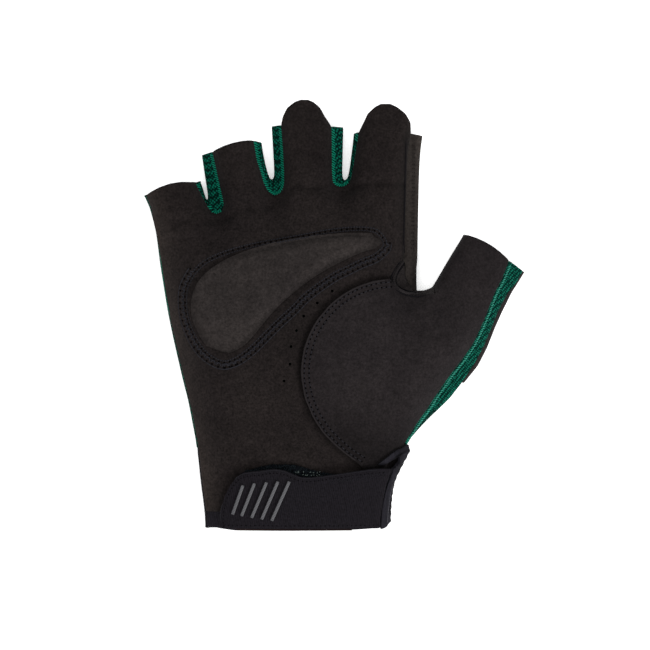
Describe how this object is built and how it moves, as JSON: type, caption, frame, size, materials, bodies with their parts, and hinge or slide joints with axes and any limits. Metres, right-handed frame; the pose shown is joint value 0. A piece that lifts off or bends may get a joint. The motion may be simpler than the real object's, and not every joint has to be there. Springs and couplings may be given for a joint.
{
  "type": "cycling glove",
  "caption": "Fingerless right-hand cycling glove, palm up, with a gel pad, mesh sides, an oval thumb panel and a strapped cuff.",
  "frame": {"origin": "centre of the plan's bounding box, on the plane the back lies on", "axes": "+X towards the thumb, +Y from the wrist to the fingertips, +Z from the back up to the palm"},
  "size_m": [0.1492, 0.1678, 0.0219],
  "materials": {
    "palm_suede": "matt brushed synthetic suede, brown-black",
    "thumb_suede": "matt brushed synthetic suede, charcoal",
    "pad_suede": "matt suede stretched over a gel pad",
    "green_mesh": "green knitted mesh",
    "gusset_suede": "perforated dark brown suede",
    "neoprene": "jersey-faced neoprene, near black",
    "loop_pile": "black loop pile of a hook and loop fastening",
    "grip_rubber": "printed grey silicone"
  },
  "bodies": {
    "root": {"palm_panel": "palm_suede", "palm_hem": "neoprene", "thumb_panel": "thumb_suede", "gel_pad": "pad_suede", "back_panel": "green_mesh", "fourchette_little_ring": "green_mesh", "fourchette_ring_middle": "green_mesh", "fourchette_middle_index": "green_mesh", "index_gusset": "gusset_suede", "crotch_wedge": "gusset_suede", "thumb_side_strip": "green_mesh", "thumb_back_panel": "thumb_suede", "cuff_back": "neoprene", "cuff_side_tab": "neoprene", "loop_patch": "loop_pile", "wrist_strap": "neoprene", "grip_bar_1": "grip_rubber", "grip_bar_2": "grip_rubber", "grip_bar_3": "grip_rubber", "grip_bar_4": "grip_rubber", "grip_bar_5": "grip_rubber"}
  },
  "joints": []
}
